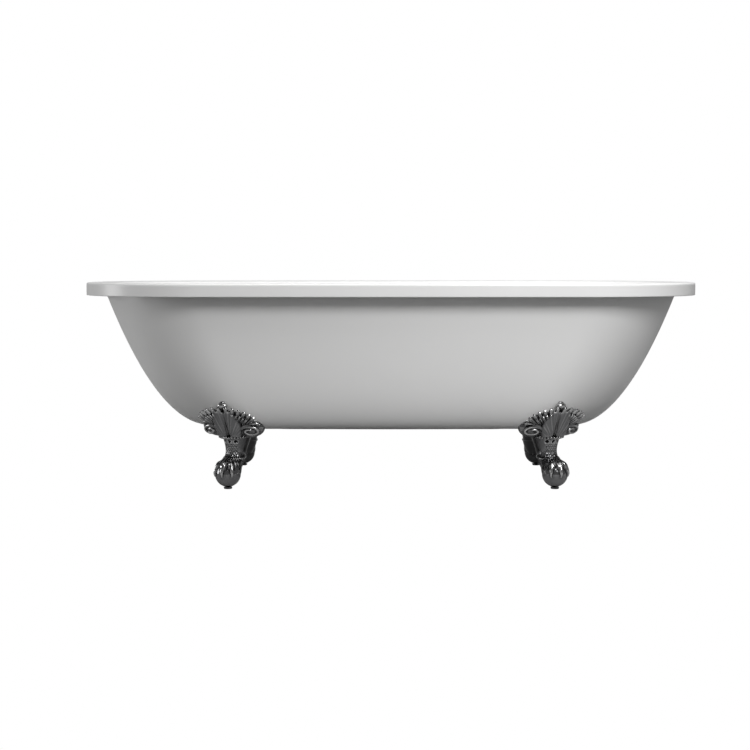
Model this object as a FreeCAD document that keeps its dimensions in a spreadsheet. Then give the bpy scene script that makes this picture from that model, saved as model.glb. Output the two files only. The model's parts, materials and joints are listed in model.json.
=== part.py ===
import FreeCAD, Part
import math
import os

import Sketcher
from FreeCAD import Placement, Rotation, Vector

# Double-ended freestanding bath: an acrylic basin inside an acrylic outer skin, standing on
# four cast ball-and-claw feet. X is the length, the front is at -Y, the floor is at Z = 0.

DIMENSIONS = {
    # rim; an "end ratio" is the reach of a rounded end over the half width
    "rim_length": 1700, "rim_width": 750, "rim_height": 550, "rim_band": 35, "rim_end_ratio": 0.907,
    "acrylic": 5,
    # outer skin, as half lengths and half widths at its foot and at its top
    "skin_wall": 4, "skin_bottom": 153, "skin_end_ratio": 0.87,
    "skin_foot_length": 513, "skin_top_length": 794,
    "skin_foot_width": 225, "skin_top_width": 325, "skin_corner_pull": 216, "skin_flare_pull": 72,
    "access_radius": 62,
    # basin, in the same terms
    "basin_floor": 210, "basin_end_ratio": 0.87,
    "basin_foot_length": 488, "basin_top_length": 765,
    "basin_foot_width": 198, "basin_top_width": 290, "basin_corner_pull": 200, "basin_flare_pull": 66,
    # timber
    "board_thick": 18, "board_length": 500, "board_width": 206, "board_hole": 66,
    "core_width": 36, "core_gap": 2, "block_length": 84, "block_depth": 42, "block_back": 100, "bedding": 3,
    "pipe_slot": 24,
    # where a foot stands, and how far it is turned towards the end of the bath
    "foot_x": 438, "foot_y": 260, "foot_turn": 22, "foot_gap": 1.2,
    # foot casting
    "ball_radius": 38, "ball_height": 40, "ball_flat": 5.2,
    "leaf_half_width": 88, "leaf_root": 152, "leaf_rise": 64, "leaf_thick": 14, "leaf_lobes": 7,
    "flute_depth": 4.5, "scroll_radius": 22, "scroll_reach": 62, "scroll_height": 153, "scroll_back": -66,
    "bud_radius": 13, "bud_height": 229,
    "toe_circle": 35, "toe_spread": 40, "claw_lift": 2, "lug_thick": 14, "lug_half_width": 44, "lug_back": 124,
    # screws and glides
    "screw_back": 98, "screw_spread": 28, "screw_radius": 4, "screw_length": 42, "fit": 0.3,
    "screw_flats": 13, "screw_head": 5.5,
    "glide_flats": 22, "glide_thick": 3, "glide_pad": 2, "stem_radius": 4, "stem_length": 24,
    # waste, plug and overflow
    "waste_radius": 23.9, "waste_bore": 20, "waste_end": 154.6, "tail_top": 172, "shank_radius": 25.5,
    "flange_radius": 35, "flange_top": 212, "flange_under": 209.2, "seat_radius": 24, "seat_low": 208, "dish_depth": 2,
    "seal_thick": 3, "nut_radius": 37, "nut_low": 173, "nut_thick": 9,
    "hub_radius": 7, "hub_height": 186, "hub_thick": 6, "spoke_width": 3, "spoke_depth": 5,
    "plug_radius": 31, "plug_stem": 3.5, "stem_low": 172, "stem_neck": 208, "cap_low": 213,
    "cap_boss": 8, "cap_rim": 214.4, "cap_top": 218.5, "plug_ring": 22.4, "run_fit": 0.05,
    "overflow_height": 468, "overflow_bore": 16, "overflow_cover": 33, "cover_stand": 8, "cover_thick": 5,
    "cover_stud": 5, "cover_sink": 13, "collar_face": 0.6,
    "pipe_radius": 10, "pipe_level": 192, "banjo_radius": 33,
}

doc = FreeCAD.newDocument("ClawfootBath")
sheet = doc.addObject("Spreadsheet::Sheet", "Sizes")
for row, (alias, value) in enumerate(DIMENSIONS.items(), start=1):
    sheet.set(f"A{row}", alias)
    sheet.set(f"B{row}", str(value))
    sheet.setAlias(f"B{row}", alias)
doc.recompute()

RINGS = 4
SEEN_CHORDS = 32
CHORDS = 12
FLATS = 18
FOOT_TURNS = {"front_left": (-1, -1), "front_right": (1, -1), "back_left": (-1, 1), "back_right": (1, 1)}
pieces = []


def size(alias):
    return float(sheet.get(alias))


def bound(text):
    """An expression in which each cell is named by its alias alone."""
    return " ".join("Sizes." + word if word in DIMENSIONS else word for word in str(text).split())


# ---------------------------------------------------------------- document helpers

def feature(kind, name, place=(0, 0, 0), turn=None, **properties):
    """A document object whose properties and position follow the sheet."""
    item = doc.addObject(kind, name)
    item.Placement = Placement(Vector(), turn or Rotation())
    for axis, text in zip("xyz", place):
        item.setExpression(".Placement.Base." + axis, bound(text))
    for path, text in properties.items():
        item.setExpression(path, bound(text))
    return item


def prism(name, radius, low, height, sides):
    """An upright bar with so many sides, whose corners reach the radius."""
    item = feature("Part::Prism", name, (0, 0, low), Circumradius=radius, Height=height)
    item.Polygon = sides
    return item


def cut(name, base, *tools):
    """A boolean cut of one document object by others."""
    tool = tools[0]
    if len(tools) > 1:
        tool = doc.addObject("Part::MultiFuse", name + "_tools")
        tool.Shapes = list(tools)
    item = doc.addObject("Part::Cut", name)
    item.Base = base
    item.Tool = tool
    return item


def fused(name, *parts):
    item = doc.addObject("Part::MultiFuse", name)
    item.Shapes = list(parts)
    return item


def shaped(name, shape, placement=None):
    """A document object for a form that no sketch or primitive gives."""
    item = doc.addObject("Part::Feature", name)
    item.Shape = shape
    if placement:
        item.Placement = placement
    return item


def sub_part(item, label):
    """Names a finished piece of the bath and lists it for output."""
    item.Label = label
    pieces.append(item)
    return item


def turned(name, profile, place=(0, 0, 0), turn=None):
    """A body turned about its own Z axis from a closed half profile of (radius, height)."""
    body = feature("PartDesign::Body", name, place, turn)
    plane = next(part for part in body.Origin.OriginFeatures if part.Role == "XZ_Plane")
    sketch = body.newObject("Sketcher::SketchObject", name + "_profile")
    sketch.AttachmentSupport = [(plane, "")]
    sketch.MapMode = "FlatFace"
    points = [Vector(*(float(sheet.evalExpression(bound(text))) for text in corner), 0)
              for corner in profile]
    count = len(points)
    for index, point in enumerate(points):
        sketch.addGeometry(Part.LineSegment(point, points[(index + 1) % count]), False)
    for index in range(count):
        sketch.addConstraint(Sketcher.Constraint("Coincident", index, 2, (index + 1) % count, 1))
    for index, (radius, height) in enumerate(profile):
        for kind, text, value in (("DistanceX", radius, points[index].x),
                                  ("DistanceY", height, points[index].y)):
            number = sketch.addConstraint(Sketcher.Constraint(kind, -1, 1, index, 1, value))
            sketch.setExpression(f"Constraints[{number}]", bound(text))
    revolution = body.newObject("PartDesign::Revolution", name + "_turning")
    revolution.Profile = sketch
    revolution.ReferenceAxis = (sketch, ["V_Axis"])
    revolution.Angle = 360
    body.Tip = revolution
    return body


# ---------------------------------------------------------------- forms of the bath

def bath_outline(length, width, ratio, height, chords=0):
    """The edges of a level outline: right end, back line, left end, front line.

    A hidden end may be cut in that many straight chords instead of a half ellipse."""
    end = width * ratio
    straight = length - end

    def end_edges(side):
        centre = Vector(side * straight, 0, height)
        if not chords:
            curve = Part.Ellipse(centre + Vector(0, width, 0), centre - Vector(end, 0, 0), centre)
            start = math.pi * (1 + side) / 2
            return [Part.ArcOfEllipse(curve, start, start + math.pi).toShape()]
        angles = [math.pi * (step / chords - 0.5) for step in range(chords + 1)]
        points = [centre + Vector(end * math.cos(angle), width * math.sin(angle), 0) * side for angle in angles]
        return [Part.makeLine(*pair) for pair in zip(points, points[1:])]

    def side_line(side):
        return [Part.makeLine(Vector(side * straight, side * width, height),
                              Vector(-side * straight, side * width, height))]

    return end_edges(1) + side_line(1) + end_edges(-1) + side_line(-1)


def slab(length, width, ratio, low, high, chords=0):
    face = Part.Face(Part.Wire(bath_outline(length, width, ratio, low, chords)))
    return face.extrude(Vector(0, 0, high - low))


def rim_slab(inset, low, high, chords=0):
    return slab(size("rim_length") / 2 - inset, size("rim_width") / 2 - inset,
                size("rim_end_ratio"), low, high, chords)


def cubic(start, pull, arrive, end, step):
    """A cubic from start to end whose slopes at its two ends are pull and arrive."""
    rise = end - start
    return (start + pull * step + (3 * rise - 2 * pull - arrive) * step**2
            + (pull + arrive - 2 * rise) * step**3)


def half_length(prefix, step):
    return size(prefix + "_foot_length") * (1 - step) + size(prefix + "_top_length") * step


def half_width(prefix, step):
    return cubic(size(prefix + "_foot_width"), size(prefix + "_corner_pull"),
                 size(prefix + "_flare_pull"), size(prefix + "_top_width"), step)


def wall_faces(low, high):
    """The faces between two outlines: flat between straight edges, ruled between curved ones."""
    if low.Curve.TypeId != "Part::GeomLine":
        return Part.makeRuledSurface(low, high).Faces
    corners = [low.Vertexes[0], low.Vertexes[1], high.Vertexes[1], high.Vertexes[0]]
    return [Part.Face(Part.makePolygon([corner.Point for corner in corners + corners[:1]]))]


def bath_form(prefix, bottom, top, grow, chords=0):
    """The form of the skin or the basin: its ends rise on a parabola, its sides on a cubic."""
    outlines = []
    for ring in range(RINGS + 1):
        step = ring / RINGS
        height = bottom - grow * (1 - step) + (top - bottom) * step**2
        outlines.append(bath_outline(half_length(prefix, step) + grow, half_width(prefix, step) + grow,
                                     size(prefix + "_end_ratio"), height, chords))
    faces = [Part.Face(Part.Wire(outlines[0])), Part.Face(Part.Wire(outlines[-1]))]
    for low, high in zip(outlines, outlines[1:]):
        for pair in zip(low, high):
            faces += wall_faces(*pair)
    shell = Part.makeShell(faces)
    shell.sewShape()
    return Part.Solid(shell.Shells[0] if shell.Shells else shell)


def post(radius, low, high):
    return Part.makeCylinder(radius, high - low, Vector(0, 0, low))


def bar(radius, low, high, flats=FLATS, spot=Vector()):
    """An upright bar with flats, for small hidden rounds; its corners reach the radius."""
    corners = [Vector(spot.x + radius * math.cos(angle), spot.y + radius * math.sin(angle), low)
               for angle in (2 * math.pi * side / flats for side in range(flats + 1))]
    return Part.Face(Part.makePolygon(corners)).extrude(Vector(0, 0, high - low))


def drilling(radius, low, high, flats=8, spot=Vector()):
    """A hole whose flats clear a round bar of this radius."""
    return bar(radius / math.cos(math.pi / flats), low, high, flats, spot)


rim_top = size("rim_height")
rim_low = rim_top - size("rim_band")
floor = size("basin_floor")
skin_bottom = size("skin_bottom")
board_low = floor - size("acrylic") - 1 - size("board_thick")


def foot_placement(corner):
    """Where a foot stands: at its corner of the bath, turned towards the nearer end."""
    along, across = FOOT_TURNS[corner]
    turn = size("foot_turn") * along
    if across > 0:
        turn = 180 - turn
    return Placement(Vector(along * size("foot_x"), across * size("foot_y"), 0),
                     Rotation(Vector(0, 0, 1), turn))


SCREW_PAIR = [Vector(side * size("screw_spread"), size("screw_back"), 0) for side in (-1, 1)]


def screw_spots():
    """Where the eight foot screws go up through the skin."""
    return [foot_placement(corner).multVec(spot) for corner in FOOT_TURNS for spot in SCREW_PAIR]


def overflow_seat():
    """Where the overflow stands on the back wall: the wall's point and its tilt in degrees."""
    step, near = (math.sqrt((size("overflow_height") + rise - floor) / (rim_top - floor)) for rise in (0, 1))
    tilt = math.degrees(math.atan(half_width("basin", near) - half_width("basin", step)))
    return Vector(0, half_width("basin", step), size("overflow_height")), tilt


seat, wall_tilt = overflow_seat()
wall_turn = Rotation(Vector(1, 0, 0), 90 - wall_tilt)


def inner_shell():
    """Basin, deck and turned-down rim, moulded in one sheet, with its two drillings."""
    acrylic = size("acrylic")
    rim = rim_slab(0, rim_low, rim_top).cut(rim_slab(acrylic, rim_low - 1, rim_top - acrylic, 2 * CHORDS))
    outside = bath_form("basin", floor, rim_top, acrylic + 1, CHORDS)
    inside = bath_form("basin", floor, rim_top, 0, SEEN_CHORDS)
    overflow = Part.makeCylinder(size("overflow_bore"), 40, Vector(0, 0, -20))
    overflow.Placement = Placement(seat, wall_turn)
    dish = post(size("flange_radius") + 1.5, floor - size("dish_depth"), floor + 1)
    drain = post(size("shank_radius") + size("fit"), floor - 20, floor + 1)
    return rim.fuse(outside).cut(inside).cut(Part.makeCompound([overflow, dish, drain]))


def outer_skin():
    """The panel that shows outside, with a flange bonded inside the rim and a hole for the trap."""
    wall, ratio = size("skin_wall"), size("skin_end_ratio")
    top = rim_low + 2
    length, width = size("skin_top_length"), size("skin_top_width")
    outside = bath_form("skin", skin_bottom, rim_low, 0, SEEN_CHORDS)
    inside = bath_form("skin", skin_bottom, rim_low, -wall, CHORDS)
    flange = rim_slab(size("acrylic") + 2, top, top + wall, 2 * CHORDS)
    collar = slab(length, width, ratio, rim_low, top, SEEN_CHORDS)
    bore = slab(length - wall, width - wall, ratio, rim_low - 1, top + wall + 1, CHORDS)
    holes = [post(size("access_radius"), skin_bottom - 1, skin_bottom + 20)]
    holes += [drilling(size("screw_radius") + size("fit"), skin_bottom - 1, skin_bottom + 20, spot=spot)
              for spot in screw_spots()]
    return outside.fuse([collar, flange]).cut(inside).cut(Part.makeCompound([bore, *holes]))


def rim_core():
    """Timber ring between the deck and the skin's flange."""
    low = rim_low + 2 + size("skin_wall")
    outer = size("acrylic") + size("core_gap")
    ring = rim_slab(outer, low, rim_top - size("acrylic"), CHORDS)
    return ring.cut(rim_slab(outer + size("core_width"), low - 1, rim_top, CHORDS))


def base_board():
    """Timber board under the basin's floor, with a clear hole round the waste and a slot for its pipe."""
    top = floor - size("acrylic") - 1
    board = slab(size("board_length"), size("board_width"), size("basin_end_ratio"), board_low, top, CHORDS)
    slot = Part.makeBox(size("pipe_slot"), size("board_width") + 1, size("board_thick") + 2,
                        Vector(-size("pipe_slot") / 2, 0, board_low - 1))
    return board.cut(post(size("board_hole"), 0, rim_top)).cut(slot)


# ---------------------------------------------------------------- foot casting
# In the foot's own frame the ball stands on the origin, the front is at -Y and "out" is -Y.

def in_bath(x, y, z):
    """Whether a point of the front right quarter lies inside the outer skin."""
    if z <= skin_bottom:
        return False
    step = math.sqrt((z - skin_bottom) / (rim_low - skin_bottom))
    width = half_width("skin", step)
    reach = width * size("skin_end_ratio")
    past = max(0, x - half_length("skin", step) + reach)
    return (past / reach) ** 2 + (y / width) ** 2 < 1


def flank(x, z):
    """How far out the bath reaches at a height, over either hand of the foot."""
    turn = math.radians(size("foot_turn"))
    furthest = -size("lug_back")
    for side in (-1, 1):
        low, high = -size("lug_back"), 80
        for _ in range(30):
            out = (low + high) / 2
            place_x = size("foot_x") + side * x * math.cos(turn) + out * math.sin(turn)
            place_y = -size("foot_y") + side * x * math.sin(turn) - out * math.cos(turn)
            if in_bath(place_x, place_y, z):
                low = out
            else:
                high = out
        furthest = max(furthest, high)
    return furthest + size("foot_gap")


def triangle(*corners):
    return Part.Face(Part.makePolygon([*corners, corners[0]]))


def faceted(rings):
    """A closed casting through rings of points, in flat triangles, with a fan over each end."""
    faces = []
    count = len(rings[0])
    for ring, step in ((rings[0], -1), (rings[-1], 1)):
        centre = sum(ring[1:], ring[0]) / count
        for index in range(count):
            faces.append(triangle(ring[index], ring[(index + step) % count], centre))
    for low, high in zip(rings, rings[1:]):
        for index in range(count):
            following = (index + 1) % count
            faces.append(triangle(low[index], low[following], high[following]))
            faces.append(triangle(low[index], high[following], high[index]))
    solid = Part.Solid(Part.makeShell(faces))
    if solid.Volume < 0:
        solid.reverse()
    return solid


def oval(half, front, back, height, sides=8):
    """A level oval ring from its half width and how far out its front and back are."""
    angles = [2 * math.pi * index / sides for index in range(sides)]
    middle, depth = (front + back) / 2, (front - back) / 2
    return [Vector(half * math.cos(angle), -middle - depth * math.sin(angle), height) for angle in angles]


# Sections of the leg from the paw up: half width, front and back (out from the ball), height.
LEG_SECTIONS = (
    (22, 8, -37, 34), (30, 9, -54, 52), (30, 0, -66, 72), (26.5, -16, -77, 94), (30, -12, -77, 120),
    (35, -4, -72, 136), (38, 4, -66, 149), (42, 12, -22, 162), (44, 21, 0, 179), (34, 29, 18, 204),
)


def leg():
    """The cabriole leg: set back at the ankle, forward over the ball and up under the leaf."""
    return faceted([oval(*section) for section in LEG_SECTIONS])


BALL_RINGS = 4


def ball():
    """The ball in the claw, flat below where the glide's hexagon lies."""
    radius, height, flat = size("ball_radius"), size("ball_height"), size("ball_flat")
    low = math.asin((flat - height) / radius)
    rings = []
    for index in range(BALL_RINGS + 1):
        angle = low + (math.radians(80) - low) * index / BALL_RINGS
        across = radius * math.cos(angle)
        rings.append(oval(across, across, -across, height + radius * math.sin(angle), 12))
    return faceted(rings)


# A toe from the back of the paw to the tip of its claw: degrees above the ball's middle, radius.
TOE_JOINTS = ((96, 9), (72, 10.5), (56, 11.5), (42, 9), (26, 11.2), (4, 6), (-32, 1.2))


def toe(spread, joints):
    """A knuckled toe that curls over the ball, ending in a claw."""
    ball_centre = Vector(0, 0, size("ball_height"))
    heading = Vector(math.sin(spread), -math.cos(spread), 0)
    across = Vector(math.cos(spread), math.sin(spread), 0)
    rings = []
    for rise, radius in joints:
        angle = math.radians(rise)
        spoke = heading * math.cos(angle) + Vector(0, 0, math.sin(angle))
        centre = ball_centre + spoke * (size("toe_circle") + (size("claw_lift") if rise < 10 else 0))
        rings.append([centre + across * radius * math.cos(corner) + spoke * radius * math.sin(corner)
                      for corner in (math.pi / 3 * side for side in range(6))])
    return faceted(rings)


def leaf():
    """The fan leaf that backs onto the bath: lobes with flutes between them."""
    lobes = int(size("leaf_lobes"))
    half, root, rise = size("leaf_half_width"), size("leaf_root"), size("leaf_rise")
    steps = 2 * lobes
    fronts, backs = [], []
    for index in range(steps + 1):
        angle = math.radians(3 + 174 * index / steps)
        in_flute = index % 2 == 0
        front, back = [], []
        for reach in (0.3, 0.65, 0.95 if in_flute else 1.02):
            x = half * reach * math.cos(angle)
            z = root + rise * reach * math.sin(angle)
            behind = flank(x, max(z, 172)) - 0.25 * max(0, 172 - z)
            relief = size("leaf_thick") * (1.1 - 0.35 * reach)
            dip = size("flute_depth") * min(1, reach) if in_flute else 0
            front.append(Vector(x, -behind - relief + dip, z))
            back.append(Vector(x, -behind, z))
        fronts.append(front)
        backs.append(back)
    faces = []
    for rows, side in ((fronts, 1), (backs, -1)):
        for row, following in zip(rows, rows[1:]):
            for a, b, c, d in zip(row, row[1:], following[1:], following):
                faces.append(triangle(*(a, b, c)[::side]))
                faces.append(triangle(*(a, c, d)[::side]))
    border = [(fronts[i][-1], backs[i][-1]) for i in range(steps + 1)]
    border += [(fronts[-1][i], backs[-1][i]) for i in (1, 0)]
    border += [(fronts[i][0], backs[i][0]) for i in range(steps - 1, -1, -1)]
    border += [(fronts[0][1], backs[0][1])]
    for (a, b), (d, c) in zip(border, border[1:] + border[:1]):
        faces.append(triangle(a, b, c))
        faces.append(triangle(a, c, d))
    shell = Part.makeShell(faces)
    solid = Part.Solid(shell)
    if solid.Volume < 0:
        solid.reverse()
    return solid


# The volute from its back to its eye: share of its radius, how far it stands off the bath.
SCROLL_STEPS = ((1, 0), (1, 10), (0.8, 15), (0.5, 15), (0.35, 20))


# The bud from its neck to its tip: share of its radius, height over its middle.
BUD_STEPS = ((0.6, -16), (0.7, -8), (1.15, -6), (1.1, 1), (0.2, 9))


def scroll(side):
    """A rolled volute under each shoulder of the leaf, its back shaped to the bath."""
    radius, reach, height = size("scroll_radius"), size("scroll_reach"), size("scroll_height")
    corners = [2 * math.pi * index / 8 for index in range(8)]
    rings = []
    for share, relief in SCROLL_STEPS:
        ring = []
        for corner in corners:
            across = reach + radius * 1.25 * share * math.cos(corner)
            z = height + radius * share * math.sin(corner)
            if relief:
                out = flank(across, max(z, 170)) - 0.25 * max(0, 170 - z) + relief
            elif z > skin_bottom - 10:
                out = max(flank(across, max(z, skin_bottom + 8)) + 2.4, size("scroll_back"))
            else:
                out = size("scroll_back")
            ring.append(Vector(side * across, -out, z))
        rings.append(ring)
    return faceted(rings)


def bud():
    """The small closed bud that stands over the middle of the leaf, against the bath."""
    radius, height = size("bud_radius"), size("bud_height")
    rings = []
    for share, rise in BUD_STEPS:
        back = flank(0, height + rise)
        rings.append(oval(radius * share, back + radius * share * 1.1, back, height + rise, 8))
    return faceted(rings)


def lug():
    """The shelf behind the leg that takes the weight of the bath."""
    half, thick = size("lug_half_width"), size("lug_thick")
    top = skin_bottom - size("fit")
    rings = []
    for low in (top - thick, top):
        rings.append([Vector(-half, size("lug_back"), low), Vector(-half, 62, low),
                      Vector(-30, 40, low), Vector(30, 40, low),
                      Vector(half, 62, low), Vector(half, size("lug_back"), low)])
    return faceted(rings)


def foot_casting():
    spread = math.radians(size("toe_spread"))
    toes = [toe(turn, TOE_JOINTS) for turn in (-spread, 0, spread)]
    toes.append(toe(math.pi, TOE_JOINTS[2:]))
    solid = leg().fuse([ball(), *toes, leaf(), scroll(-1), scroll(1), bud(), lug()])
    bores = [drilling(size("stem_radius") + size("fit"), 0, size("ball_height") - 4)]
    bores += [drilling(size("screw_radius") + size("fit"), 100, 180, spot=spot) for spot in SCREW_PAIR]
    return solid.cut(Part.makeCompound(bores)).removeSplitter()


# ---------------------------------------------------------------- pieces of each foot

def glide(corner):
    """A levelling glide: hexagon and stud in one, on a pad that meets the floor."""
    place = foot_placement(corner)
    across_corners = "glide_flats / 2 / cos( 30 )"
    low = "glide_pad"
    base = feature("Part::Prism", "glide_hexagon_" + corner, (place.Base.x, place.Base.y, low),
                   place.Rotation, Circumradius=across_corners, Height="glide_thick")
    base.Polygon = 6
    stud = feature("Part::Prism", "glide_stud_" + corner, (place.Base.x, place.Base.y, low),
                   place.Rotation, Circumradius="stem_radius", Height="stem_length + glide_thick")
    stud.Polygon = 8
    sub_part(fused("glide_join_" + corner, base, stud), "glide_" + corner)
    pad = feature("Part::Prism", "glide_sole_" + corner, (place.Base.x, place.Base.y, 0),
                  place.Rotation, Circumradius=across_corners, Height="glide_pad")
    pad.Polygon = 6
    sub_part(pad, "glide_pad_" + corner)


def block(corner):
    """The timber block inside the skin that the foot's screws bite into."""
    length, depth = size("block_length"), size("block_depth")
    low = skin_bottom + size("skin_wall") + size("bedding")
    place = foot_placement(corner)
    start = place.multVec(Vector(-length / 2, size("block_back") - depth / 2, low))
    box = feature("Part::Box", "block_" + corner, start, place.Rotation,
                  Length="block_length", Width="block_depth", Height=board_low - low)
    sub_part(box, "foot_block_" + corner)


def foot_screws():
    """The eight hexagon-headed coach screws that hold the feet, as one group."""
    top = skin_bottom - size("fit") - size("lug_thick")
    head = feature("Part::Prism", "screw_hexagon", (0, 0, 0),
                   Circumradius="screw_flats / 2 / cos( 30 )", Height="screw_head")
    head.Polygon = 6
    shank = feature("Part::Prism", "screw_shank", (0, 0, "screw_head"),
                    Circumradius="screw_radius", Height="screw_length")
    shank.Polygon = 8
    screw = fused("screw", head, shank)
    doc.recompute()
    lift = Vector(0, 0, top - size("screw_head"))
    screws = [screw.Shape.translated(spot + lift) for spot in screw_spots()]
    sub_part(shaped("screws", Part.makeCompound(screws)), "foot_screws")


# ---------------------------------------------------------------- waste, plug and overflow

def waste():
    """Waste with its flange in the basin's dish, a plug guide across its bore and a threaded tail."""
    tail = feature("Part::Cylinder", "waste_tail", (0, 0, "waste_end"),
                   Radius="waste_radius", Height="tail_top - waste_end")
    shank = prism("waste_shank", "shank_radius", "tail_top", "flange_under - tail_top", FLATS)
    flange = prism("waste_flange", "flange_radius", "flange_under", "flange_top - flange_under", FLATS)
    through = prism("waste_through", "waste_bore", "waste_end - 1", "flange_radius * 2", FLATS)
    recess = prism("plug_seat", "seat_radius", "seat_low", "flange_radius", FLATS)
    shell = cut("waste_shell", fused("waste_blank", tail, shank, flange), through, recess)
    low, high = size("hub_height"), size("hub_height") + size("hub_thick")
    guide = post(size("plug_stem") + size("run_fit"), low, high)
    hub = bar(size("hub_radius"), low, high)
    for turn in (30, 150, 270):
        spoke = Part.makeBox(size("waste_bore") - size("hub_radius") + 2, size("spoke_width"), size("spoke_depth"),
                             Vector(size("hub_radius") - 1, -size("spoke_width") / 2, low))
        hub = hub.fuse(spoke.rotated(Vector(), Vector(0, 0, 1), turn))
    hub = shaped("plug_guide", hub.cut(guide))
    port = feature("Part::Prism", "overflow_port", (0, 0, "pipe_level"),
                   Rotation(Vector(1, 0, 0), -90), Circumradius="pipe_radius - 3", Height="flange_radius")
    port.Polygon = 8
    sub_part(cut("waste_ported", fused("waste_whole", shell, hub), port), "waste_body")


def nut():
    """Back nut that pulls the waste down onto the basin, below the overflow's ring."""
    outside = prism("nut_blank", "nut_radius", "nut_low", "nut_thick", 8)
    bore = prism("nut_bore", "shank_radius + 1", "nut_low - 1", "nut_thick + 2", FLATS)
    sub_part(cut("nut_bored", outside, bore), "waste_nut")


def washer(name, label, outer, inner, low, thick):
    """A rubber ring cut from two many-sided bars."""
    disc = prism(name + "_disc", outer, low, thick, FLATS)
    hole = prism(name + "_hole", inner, low + " - 1", thick + " + 2", FLATS)
    sub_part(cut(name, disc, hole), label)


def plug():
    """Push plug: domed cap, rubber ring under it and the stem that slides in the guide."""
    sub_part(turned("cap_turned", (
        (0, "cap_low"), ("cap_boss", "cap_low"), ("cap_boss", "cap_rim"), ("plug_radius", "cap_rim"),
        ("plug_radius", "cap_top"), (0, "cap_top"))), "plug_cap")
    washer("plug_ring", "plug_seal", "plug_ring", "cap_boss + 0.4", "stem_neck + 1", "cap_rim - stem_neck - 1")
    rod = prism("stem_rod", "plug_stem", "stem_low", "cap_low - stem_low", FLATS)
    neck = prism("stem_collar", "cap_boss", "stem_neck", "cap_low - stem_neck", FLATS)
    sub_part(fused("stem", rod, neck), "plug_stem")


def overflow():
    """Round cover that stands off the wall on a stem, so that water passes behind its edge."""
    disc = prism("cover_disc", "overflow_cover", "cover_stand", "cover_thick", 2 * FLATS)
    stud = prism("cover_stem", "cover_stud", "0 - cover_sink", "cover_sink + cover_stand", FLATS)
    cover = fused("cover", disc, stud)
    cover.Placement = Placement(seat, wall_turn)
    sub_part(cover, "overflow_cover")
    bore, face = size("overflow_bore"), size("collar_face")
    collar = bar(bore + 7, face, face + 2).fuse(bar(bore - 0.4, -6.8, face)).cut(bar(bore - 2.2, -8, face + 3))
    sub_part(shaped("collar_blank", collar, Placement(seat, wall_turn)), "overflow_collar")


def pipework():
    """Overflow elbow, pipe and banjo, welded in one: down between the skins and under the floor."""
    elbow = bar(21, -21, -7).cut(bar(size("overflow_bore"), -18, -6))
    elbow = elbow.fuse(bar(8, -19, -14.5).cut(bar(5.6, -18.5, -14)))
    elbow.Placement = Placement(seat, wall_turn)
    level = size("pipe_level")
    route = [(298, 456), (300, 438), (289.5, 335), (271, 245), (258, 214), (237, 196), (208, level), (30, level)]
    radius = size("pipe_radius")
    rings = []
    for index, (y, z) in enumerate(route):
        before, after = route[max(index - 1, 0)], route[min(index + 1, len(route) - 1)]
        heading = Vector(0, after[0] - before[0], after[1] - before[1]).normalize()
        normal = heading.cross(Vector(1, 0, 0))
        rings.append([Vector(0, y, z) + Vector(radius, 0, 0) * math.cos(angle) + normal * radius * math.sin(angle)
                      for angle in (math.pi / 5 * side for side in range(10))])
    banjo = bar(size("banjo_radius"), size("nut_low") + size("nut_thick"), level + radius)
    bore = drilling(size("shank_radius") + size("fit"), 0, rim_top, FLATS)
    whole = faceted(rings).fuse([elbow, banjo]).cut(bore)
    sub_part(shaped("pipework", whole), "overflow_pipe")


# ---------------------------------------------------------------- the whole bath

def build():
    sub_part(shaped("basin", inner_shell()), "inner_shell")
    sub_part(shaped("skin", outer_skin()), "outer_skin")
    sub_part(shaped("core", rim_core()), "rim_core")
    sub_part(shaped("board", base_board()), "base_board")
    casting = foot_casting()
    for corner in FOOT_TURNS:
        sub_part(shaped("casting_" + corner, casting, foot_placement(corner)), "foot_" + corner)
        glide(corner)
        block(corner)
    foot_screws()
    waste()
    nut()
    washer("seal", "waste_seal", "flange_radius", "shank_radius + 1", "basin_floor - acrylic - seal_thick",
           "seal_thick - 1")
    plug()
    overflow()
    pipework()
    doc.recompute()


def check():
    for item in doc.Objects:
        if {"Invalid", "Error"} & set(item.State):
            raise RuntimeError(f"{item.Name} did not build: {item.State}")
    for item in pieces:
        if item.Shape.isNull() or not item.Shape.isValid() or not item.Shape.Solids:
            raise RuntimeError(f"{item.Label} has no valid solid")


build()
check()
os.makedirs("parts", exist_ok=True)
for item in pieces:
    item.Shape.exportStep(f"parts/{item.Label}.step")
    print(f"{item.Label}: {item.Shape.Volume / 1000:.1f} cm3, {len(item.Shape.Solids)} solid(s)")
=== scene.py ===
# %% [markdown]
# # A clawfoot bath, made in cells
# The measured model gives every piece its place. Here each visible piece gets its finished
# form and its finish: a white acrylic bath, and four cast feet plated in dark chrome.

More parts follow.
